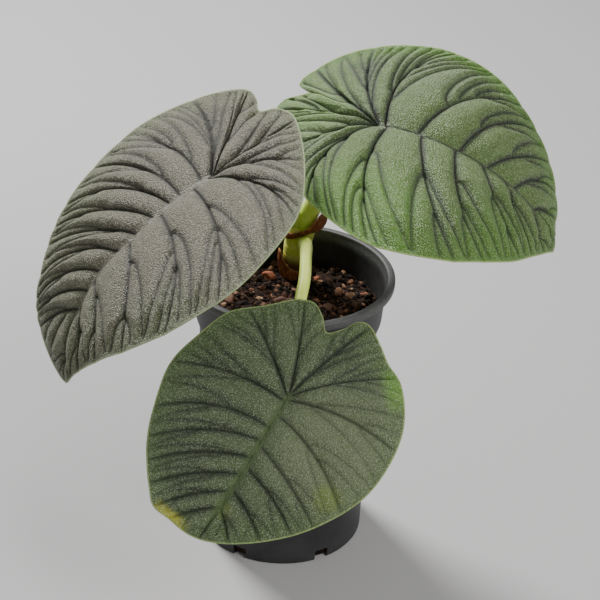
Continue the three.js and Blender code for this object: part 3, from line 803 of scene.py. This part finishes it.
for name, stations in OLD_SHEATHS.items():
    scaled = [(turn / SHEATH_TURN_UNIT, *others) for turn, *others in stations]
    line = smooth_line(scaled, SHEATH_ROWS)
    rings, edges = [], []
    for row, (turn, middle, half_height, off) in enumerate(line):
        turn = math.radians(SHEATH_TURN_UNIT * turn)
        loop = [(side, 1) for side in np.linspace(-1, 1, SHEATH_BANDS)]
        loop += [(side, 0) for side in np.linspace(1, -1, SHEATH_BANDS)]
        torn = 1 + SHEATH_TEAR * lumps(7 * turn, 1, 2, 1.0, 4)
        ring = []
        for side, out in loop:
            z = middle + side * half_height * (torn if side > 0 else 1)
            x, y, radius = crown_at(z)
            crinkle = SHEATH_CRINKLE * lumps(5 * turn, z / 1.6, 4, 1.0, 3) * min(1, abs(off) + 0.3)
            thick = SHEATH_THICKNESS * (1 - 0.6 * side * side)
            reach = radius + SHEATH_GAP + 0.25 + off * (0.875 + 0.125 * side) + crinkle + out * thick
            ring.append((x + reach * math.cos(turn), y + reach * math.sin(turn), z))
            edges.append(max(0, side) ** 6)
        rings.append(ring)
    husk_piece = piece_of(name + "_strip", *ring_body(rings), name, "dry_sheath", {"edge": edges})
    husk_piece.data.materials.append(paper_finish)


# Leaves
# Each is one thick stiff blade with a notch behind the stalk. The side veins are sunk and the panels
# between them swell, so the blade looks quilted; the underside is paler and carries the ribs.
BLADE = 0.9
RIB_DEPTH = 1.5
QUILT_SHARE_AT_MARGIN = 0.22
ROWS_PER_OUTLINE_POINT = 2.3
FINE_ROWS = 12
UNDER_STEP = 3
RIB_HALF_WIDTH = 0.03
COLUMN_STEPS = 80
BRANCH_SPACING = 8.0
BRANCH_DEPTH = 1.3
CREASE_REACH = 2.2
BRANCH_START = (0.18, 0.80)
BRANCH_GOAL = 0.52
BRANCH_CURVE = (0.35, 0.6)
BRANCH_GROOVE = 1.5
VEIN_GROOVE = 0.6
VEIN_LINE = 0.62
BRANCH_LINE = 0.5
MIDRIB_RIDGE = 0.35
UNEVENNESS = 0.2
UNEVEN_STEP = 4
MARGIN_STEPS = 60
FAR_OFF = 99.0

# In these tables u runs along the midrib from the stalk to the tip and v to its left, and the blade
# is bent off that plane. A vein is its start on the midrib, the direction of its end seen from the
# stalk in degrees, and its bow as a share of its length, in turn round the blade from the tip.
LEAVES = {
    "left": {
        "attach": STALKS["left"][-1][:3],
        "heading": 210.7, "dip": 23.7, "roll": -8.9,
        "bend_front": 0.008, "bend_back": -0.0012, "fold": 0.12, "cup": 0.004,
        "quilt": 2.6, "crease": 1.3,
        "midrib": [(0, 0), (42, 0), (65, -3.2), (90, -1.2), (106, 2.2), (120, 7)],
        "outline": [
            (120, 11), (112, 15.5), (94.5, 29), (79, 42.5), (59.5, 55.5), (40, 63), (20, 66), (-5.5, 60),
            (-25, 49.5), (-42, 27), (-52, 6), (-54, -3), (-50.5, -11.5), (-44, -16), (-47, -23.5),
            (-48, -31), (-44, -37), (-28, -48), (-2, -55), (29, -53), (54.5, -49.5), (71.5, -44.5),
            (86.5, -38), (100, -32), (107.5, -25), (115, -13), (120, 0),
        ],
        "veins": [
            (98, 4.2, 0), (84, 9, 0.1), (70, 15, 0.1), (45, 25, 0.12), (26, 41, 0.28), (6, 62, 0.22),
            (-2, 109, 0.3), (-4, 146, 0.2), (-5, 178, 0.1), (-5, 214, 0), (-4, 244, 0.18), (1, 287, 0.3),
            (13, 303, 0.24), (19, 319, 0.24), (29, 326, 0.18), (40, 331, 0.14), (52, 338, 0.22),
            (65, 342.5, 0.24), (76, 345.5, 0.2), (86, 349, 0.15),
        ],
    },
    "right": {
        "attach": STALKS["right"][-1][:3],
        "heading": -13.5, "dip": 5.5, "roll": 23.1,
        "bend_front": 0.010, "bend_back": 0.0123, "fold": 0.10, "cup": 0.004,
        "quilt": 3.0, "crease": 1.7,
        "midrib": [(0, 0), (50, 0.8), (90, 0.4), (113, -4)],
        "outline": [
            (114, -4), (110, 3), (105.5, 14.5), (91.5, 30.5), (71.5, 44.5), (47, 56.5), (20, 60), (-5, 55),
            (-27, 48), (-46, 38), (-54, 32), (-54.5, 27), (-46, 19.5), (-53.5, 19), (-62.5, 19.5),
            (-67.5, 14.5), (-65, 6), (-59.5, -6), (-48.5, -22.5), (-28.5, -49), (-8.5, -63.5), (9, -69.5),
            (27.5, -68.5), (51.5, -60), (66.5, -50.5), (83.5, -37.5), (95.5, -24.5), (107, -12),
        ],
        "veins": [
            (100, -2, 0), (88, 5, 0.2), (72, 12, 0.3), (54, 20, 0.16), (38, 29, 0.3), (16, 38, 0.28),
            (0, 70, 0.34), (-3, 111, 0.18), (-3, 142, 0.1), (-4, 168, 0.1), (-4, 206, 0.1), (-3, 244, 0.34),
            (1, 283, 0.27), (18, 312, 0.18), (36, 324, 0.25), (51, 340, 0.16), (66, 346, 0.1), (84, 352, 0.1),
        ],
    },
    "front": {
        "attach": STALKS["front"][-1][:3],
        "heading": 232.4, "dip": 38.5, "roll": -18.8,
        "bend_front": 0.0025, "bend_back": 0.004, "fold": 0.06, "cup": 0.003,
        "quilt": 2.2, "crease": 0.45,
        "midrib": [(0, 0), (35, 0), (72, -2)],
        "outline": [
            (72.5, 0), (65.5, 15.5), (47.5, 37.5), (23, 53), (5, 56.5), (-17.5, 53.5), (-35.5, 41.5),
            (-41, 31.5), (-47, 24), (-53.5, 14), (-52.5, 9), (-44.5, 4), (-40, -1), (-46, -7), (-50, -14),
            (-48, -21), (-37, -33), (-26, -46), (-9.5, -52.5), (8, -57), (24, -54.5), (46, -47), (65, -34),
            (70.5, -28.5), (72, -19), (73.5, -9),
        ],
        "veins": [
            (66, -2, 0), (56, 9, 0.1), (46, 21, 0.1), (34, 34, 0.1), (22, 44, 0.06), (6, 57, 0.15),
            (-2, 96, 0.14), (-4, 133, 0.08), (-5, 164, 0.05), (-4, 201, 0.05), (-3, 231, 0.05),
            (-1, 278, 0.14), (13, 300, 0.2), (20, 313, 0.16), (29, 322, 0.13), (38, 330, 0.12),
            (47, 338, 0.11), (56, 345, 0.1),
        ],
    },
}


def eased(value, low, high):
    """The same as Wire.between, on numbers."""
    share = np.clip((np.asarray(value, float) - low) / (high - low), 0, 1)
    return share * share * (3 - 2 * share)


def blade_places(leaf, u, v, height):
    """Places on the blade from its flat map and a height above its smooth sheet."""
    heading, dip, roll = (math.radians(leaf[key]) for key in ("heading", "dip", "roll"))
    along = np.array((math.cos(heading) * math.cos(dip), math.sin(heading) * math.cos(dip), -math.sin(dip)))
    level = np.array((-math.sin(heading), math.cos(heading), 0))
    left = level * math.cos(roll) + np.cross(along, level) * math.sin(roll)
    upward = np.cross(along, left)
    bend = np.where(u > 0, leaf["bend_front"], leaf["bend_back"])
    turn = bend * u
    folded = leaf["fold"] * (np.hypot(v, 8) - 8) - leaf["cup"] * v * v / 2
    normal = np.cos(turn)[..., None] * upward + np.sin(turn)[..., None] * along
    return (np.array(leaf["attach"]) + (np.sin(turn) / bend)[..., None] * along
            - ((1 - np.cos(turn)) / bend)[..., None] * upward + v[..., None] * left
            + (folded + height)[..., None] * normal)


def blade_rows(leaf):
    """One row for each step round the margin: where it leaves the midrib, where it ends, its bow and
    which side that is on, the panel between two veins that it lies in, and its share across it."""
    veins = leaf["veins"]
    outline = [(u, v, 0) for u, v in leaf["outline"]]
    steps = MARGIN_STEPS * len(outline)
    margin = smooth_line(outline, steps, closed=True)[:, :2]
    polar = np.degrees(np.unwrap(np.arctan2(margin[:, 1], margin[:, 0])))
    ends = [end + 360 if end < polar[0] else end for _, end, _ in veins]
    shares = [int(np.argmax(polar >= end)) / steps for end in ends]
    rib_u, rib_v = zip(*leaf["midrib"])
    rows = []
    for panel, ((start, _, bow), share) in enumerate(zip(veins, shares)):
        after = (panel + 1) % len(shares)
        span = (shares[after] - share) % 1
        count = FINE_ROWS * max(2, round(span * len(outline) * ROWS_PER_OUTLINE_POINT))
        for step in range(count):
            phase = step / count
            place = (share + span * phase) % 1 * steps
            first = int(place)
            end = margin[first] + (place - first) * (margin[(first + 1) % steps] - margin[first])
            leave = start + (veins[after][0] - start) * phase
            spine = np.interp(leave, rib_u, rib_v)
            angle = math.atan2(end[1] - spine, end[0] - leave)
            rows.append((leave + RIB_HALF_WIDTH * math.cos(angle), spine + RIB_HALF_WIDTH * math.sin(angle),
                         end[0], end[1], bow + (veins[after][2] - bow) * phase,
                         min(max(2 * math.sin(angle), -1), 1), panel, phase))
    return np.array(rows)


def midrib_seam(starts, first, columns, flip):
    """Triangles that join the rows of both halves along the midrib, from the tip to its back end."""
    total = len(starts)
    one, other, faces = 0, total, []
    last = int(np.argmin(starts))
    while one < last or other > last:
        corners = [one, other % total]
        if other == last or (one < last and starts[one + 1] >= starts[other - 1]):
            one += 1
            corners.append(one)
        else:
            other -= 1
            corners.append(other)
        corners = [first + corner * columns for corner in corners]
        if len(set(corners)) == 3:
            faces.append(corners[::-1] if flip else corners)
    return faces


def leaf_blade(name, leaf):
    """The blade's mesh, and on its points what its finish needs: how near a side vein and a branch of
    one lie, the distance in mm to the midrib, the margin and the nearest crease, u and v, and 1 on the
    underside."""
    rows = blade_rows(leaf)
    u0, v0, u1, v1, bow, side, panel, phase = (rows[:, at][:, None] for at in range(8))

    # Columns from the midrib to the margin, closer together near both
    even = np.linspace(0, 1, COLUMN_STEPS)
    t = (0.5 * even ** 1.35 + 0.5 * np.sin(0.5 * math.pi * even) ** 1.2)[None, :]
    bulge = 2 * t * (1 - t) * bow
    u = u0 + (u1 - u0) * t - bulge * np.abs(v1 - v0)
    v = v0 + (v1 - v0) * t + bulge * side * (u1 - u0)
    length = np.hypot(u1 - u0, v1 - v0)
    reach = length * t
    inward = length - reach

    # Width of each panel, from the two veins that bound it
    panels = panel[:, 0].astype(int)
    count = len(leaf["veins"])
    vein_rows = [int(np.argmax(panels == at)) for at in range(count)]
    width = np.zeros_like(u)
    for at in range(count):
        a, b = vein_rows[at], vein_rows[(at + 1) % count]
        width[panels == at] = np.hypot(u[a] - u[b], v[a] - v[b])
    to_vein = np.minimum(phase, 1 - phase) * width

    # Branches leave both veins of a panel and sweep toward the margin between them
    branch_gap = np.full_like(u, FAR_OFF)
    draw = np.random.default_rng(int(leaf["heading"] * 10) % 1000)
    for at in range(count):
        chosen = panels == at
        branches = max(1, round(float(width[chosen][:, -1].max()) / BRANCH_SPACING / 2))
        for own in (phase[chosen], 1 - phase[chosen]):
            for branch in range(branches):
                first, last = BRANCH_START
                begin = first + (last - first) * (branch + draw.uniform(0.05, 0.85)) / branches
                goal = BRANCH_GOAL * (1 - 0.9 * branch / branches) + draw.uniform(-0.1, 0.0)
                ran = np.clip((t - begin) / (1.02 - begin), 0, 1)
                path = goal * ran ** draw.uniform(*BRANCH_CURVE)
                gap = np.abs(own - path) * width[chosen] * (0.7 + 0.3 * ran)
                gap = gap + np.maximum(begin - t, 0) * length[chosen]
                branch_gap[chosen] = np.minimum(branch_gap[chosen], gap)

    # The panels swell between the veins, and veins and branches cut grooves into them
    swell = np.sin(math.pi * phase) ** 0.75 * np.ones_like(t)
    plump = 0.45 * swell + 0.55 * (1 - np.exp(-to_vein / CREASE_REACH))
    rise = 0.35 * eased(t, 0, 0.3) + 0.65 * (1 - np.exp(-reach / CREASE_REACH))
    fade = 1 - (1 - QUILT_SHARE_AT_MARGIN) * eased(t, 0.72, 1)
    flat_rim = eased(inward, 0.5, 4)
    finger = (1 - np.exp(-branch_gap / BRANCH_GROOVE)) * np.minimum(width / 7, 1)
    height = leaf["quilt"] * (plump * rise * fade - 0.3 * (1 - eased(t, 0, 0.16)))
    height = height + flat_rim * BRANCH_DEPTH * leaf["crease"] * (finger - 0.8)
    height = height - flat_rim * rise * 0.6 * leaf["crease"] * np.exp(-(to_vein / VEIN_GROOVE) ** 2)
    height = height + MIDRIB_RIDGE * np.exp(-(reach / 0.8) ** 2)
    uneven = np.array([[UNEVENNESS * lumps(a, b, 5, 5.0, 3) for a, b in zip(*row)]
                       for row in zip(u[::UNEVEN_STEP], v[::UNEVEN_STEP])])
    height = height + np.repeat(uneven, UNEVEN_STEP, axis=0)[:len(u)] * flat_rim

    # The underside lies a full thickness below, with ribs under the midrib and the veins
    to_tip = np.clip(1 - u / leaf["outline"][0][0], 0, 1)
    rib = RIB_DEPTH * to_tip * np.exp(-(reach / 1.8) ** 2)
    side_rib = 0.7 * np.exp(-(to_vein / 0.8) ** 2) * (1 - eased(t, 0.5, 0.95)) * rise
    edge = np.clip(inward / 0.8, 0, 1)
    full = BLADE * (0.35 + 0.65 * np.sqrt(1 - (1 - edge) ** 2)) + rib + side_rib
    upper = blade_places(leaf, u, v, height + BLADE / 2)
    coarse = slice(None, None, UNDER_STEP)
    lower = blade_places(leaf, u[coarse], v[coarse], (height + BLADE / 2 - full)[coarse])

    # Faces of both sides, and of the margin between them
    turns, columns = u.shape
    half_count = turns * columns
    faces = []
    for first, total, flip in ((0, turns, False), (half_count, turns // UNDER_STEP, True)):
        here = first + np.arange(total)[:, None] * columns + np.arange(columns - 1)[None, :]
        there = first + np.roll(np.arange(total), -1)[:, None] * columns + np.arange(columns - 1)[None, :]
        quads = np.stack([here, here + 1, there + 1, there], -1).reshape(-1, 4)
        faces.extend((quads[:, ::-1] if flip else quads).tolist())
        faces.extend(midrib_seam(u[::turns // total, 0], first, columns, flip))
    under_turns = turns // UNDER_STEP
    for below in range(under_turns):
        over = [(below * UNDER_STEP + step) % turns for step in range(UNDER_STEP, -1, -1)]
        after = (below + 1) % under_turns
        under = [half_count + row * columns for row in (below, after)]
        faces.append([first + columns - 1 for first in (*(row * columns for row in over), *under)])
    stored = {
        "vein": np.exp(-(to_vein / VEIN_LINE) ** 2) * flat_rim,
        "branch": np.exp(-(branch_gap / BRANCH_LINE) ** 2) * flat_rim,
        "spine": reach,
        "margin": inward,
        "from_crease": np.minimum(to_vein, branch_gap + 0.6),
        "along": u,
        "across": v,
    }
    stored = {key: np.concatenate([values.ravel(), values[coarse].ravel()]) for key, values in stored.items()}
    stored["under"] = np.repeat([0.0, 1.0], [half_count, half_count // UNDER_STEP])
    points = np.concatenate([upper.reshape(-1, 3), lower.reshape(-1, 3)])
    return piece_of(f"leaf_{name}_blade", points, faces, f"leaf_{name}", f"leaf_{name}", stored)


def leaf_finish(name, valley_tone_and_shade, mid, silver_bloom_and_glint, rim, outer, rib, crease, patches):
    """Sunk veins and branches and the valleys beside them are darker, partly in their own darker green and
    partly as painted shade in the creases. The panels between them carry a silvery bloom full of fine bright
    grains, partly the leaf's own bloom and partly painted glints, and a thin pale line runs round the margin,
    with the outer colour inside it. rib is the midrib's colour, half width in mm and strength, and crease is
    how strongly veins and branches darken, with their own colour and painted shade.
    patches are off-colour places, partly the blade's own tone and partly painted sheen and shade:
    (u, v, radius, depth in from the margin, colour, strength)."""
    leaf = Finish(name)
    vein, branch, open_panel = leaf.stored("vein"), leaf.stored("branch"), leaf.stored("from_crease")
    spine, margin, under = leaf.stored("spine"), leaf.stored("margin"), leaf.stored("under")
    u, v = leaf.stored("along"), leaf.stored("across")
    cloud = leaf.noise(16, 3)
    mottle = leaf.noise(4, 3)
    grain = leaf.noise(0.55, 3, 0.75)
    pebble = leaf.cells(0.7)
    # Towards the creases the colour turns to the valley colour, partly the leaf's own darker green and partly
    # painted shade.
    body = leaf.blend((open_panel * 0.22 + 0.8 * (mottle - 0.5)).between(-0.05, 0.8), valley_tone_and_shade, mid)
    body = leaf.blend((margin + 8 * (mottle - 0.5)).between(17, 1) * 0.6, body, outer)
    # Patches of other colour: partly the blade's own tone, partly painted sheen and shade.
    for pu, pv, radius, depth, colour, strength in patches:
        away = ((u - pu) * (u - pu) + (v - pv) * (v - pv)) ** 0.5 + 0.5 * radius * (mottle - 0.5)
        near = away.between(radius, 0.3 * radius) * margin.between(depth, 0.4 * depth)
        body = leaf.blend(near * strength, body, colour)
    # Bright beads on the panels, most on the crests, are partly the leaf's own silvery bloom and partly
    # painted glints off its tiny grains; the darker gaps between the grains are partly painted shade.
    bead = pebble.between(0.62, 0.2) * grain.between(0.40, 0.62)
    bloom_and_painted_glint = bead * (open_panel * 0.4 + 1.3 * (cloud - 0.3)).between(-0.1, 0.8)
    body = leaf.blend(grain.between(0.55, 0.35) * 0.35, body, tuple(0.4 * part for part in mid))
    body = leaf.blend(bloom_and_painted_glint * 0.78, body, silver_bloom_and_glint)
    # Dark lines on the veins and branches: partly their own darker colour, partly painted shade in the
    # creases.
    crease_tone_and_shade = (vein * crease[0] + branch * crease[1]).clipped()
    body = leaf.blend(crease_tone_and_shade * 0.92, body, tuple(0.4 * part for part in valley_tone_and_shade))
    body = leaf.blend(spine.between(1.3 * rib[1], 0.5 * rib[1]) * rib[2], body, rib[0])
    body = leaf.blend(margin.between(0.9, 0.35) * 0.9, body, rim)
    pale = leaf.blend(mottle, (0.20, 0.30, 0.10), (0.30, 0.40, 0.16))
    pale = leaf.blend((vein + spine.between(1.8, 0.6)).clipped(), pale, (0.45, 0.55, 0.24))
    body = leaf.blend(under, body, pale)
    return leaf.wear(
        Base_Color=body, Roughness=0.28 + 0.2 * grain + 0.25 * crease_tone_and_shade,
        Normal=leaf.relief(grain - 1.3 * pebble, 0.42, 1.0),
        Specular_IOR_Level=0.5, Sheen_Weight=0.1, Sheen_Roughness=0.4,
        Subsurface_Weight=0.05, Subsurface_Radius=(0.4, 0.8, 0.2), Subsurface_Scale=1 * MM)


ANY_DEPTH = 200
# Each blade's patches are partly its own tone and partly painted sheen and shade.
LEAF_FINISHES = {
    "left": leaf_finish(
        "silvery_quilted_blade", valley_tone_and_shade=(0.034, 0.034, 0.016), mid=(0.112, 0.103, 0.062),
        silver_bloom_and_glint=(0.52, 0.48, 0.38), rim=(0.34, 0.42, 0.20), outer=(0.105, 0.125, 0.042),
        rib=((0.24, 0.235, 0.18), 0.9, 0.8), crease=(0.95, 0.7),
        patches=[
            (110, 0, 60, ANY_DEPTH, (0.084, 0.102, 0.036), 0.75),
            (60, -52, 45, ANY_DEPTH, (0.130, 0.150, 0.065), 0.7),
            (70, 62, 45, ANY_DEPTH, (0.074, 0.102, 0.032), 0.8),
            (30, -60, 45, 12, (0.090, 0.110, 0.040), 0.6),
            (0, 0, 2.6, ANY_DEPTH, (0.26, 0.28, 0.17), 0.6),
        ]),
    "right": leaf_finish(
        "bright_quilted_blade", valley_tone_and_shade=(0.034, 0.042, 0.024), mid=(0.088, 0.152, 0.030),
        silver_bloom_and_glint=(0.46, 0.56, 0.30), rim=(0.38, 0.52, 0.15), outer=(0.088, 0.215, 0.014),
        rib=((0.070, 0.080, 0.050), 0.8, 0.7), crease=(1.0, 0.8),
        patches=[
            (0, -62, 52, ANY_DEPTH, (0.092, 0.235, 0.010), 0.85),
            (75, -42, 42, ANY_DEPTH, (0.085, 0.21, 0.014), 0.7),
            (-42, 5, 34, ANY_DEPTH, (0.165, 0.300, 0.065), 0.85),
            (15, 42, 26, ANY_DEPTH, (0.150, 0.200, 0.090), 0.6),
            (20, 60, 60, 12, (0.09, 0.22, 0.014), 0.8),
            (90, 25, 34, 16, (0.085, 0.20, 0.014), 0.7),
            (0, 0, 2.6, ANY_DEPTH, (0.36, 0.40, 0.25), 0.7),
        ]),
    "front": leaf_finish(
        "dark_quilted_blade", valley_tone_and_shade=(0.026, 0.040, 0.015), mid=(0.088, 0.124, 0.046),
        silver_bloom_and_glint=(0.44, 0.48, 0.34), rim=(0.32, 0.42, 0.14), outer=(0.085, 0.145, 0.030),
        rib=((0.085, 0.13, 0.040), 2.0, 0.85), crease=(0.65, 0.35),
        patches=[
            # This large lighter patch is painted sheen.
            (8, 32, 44, ANY_DEPTH, (0.185, 0.225, 0.110), 0.75),
            (-30, -12, 20, ANY_DEPTH, (0.110, 0.150, 0.060), 0.6),
            (73, -19, 13, 7, (0.50, 0.50, 0.03), 0.95),
            (-33, 42, 15, 12, (0.13, 0.30, 0.02), 0.85),
            (28, 40, 9, ANY_DEPTH, (0.17, 0.24, 0.02), 0.6),
            (56, 1, 6, ANY_DEPTH, (0.17, 0.24, 0.03), 0.6),
            (0, 0, 2.4, ANY_DEPTH, (0.30, 0.34, 0.20), 0.6),
        ]),
}

for name, leaf in LEAVES.items():
    leaf_blade(name, leaf).data.materials.append(LEAF_FINISHES[name])
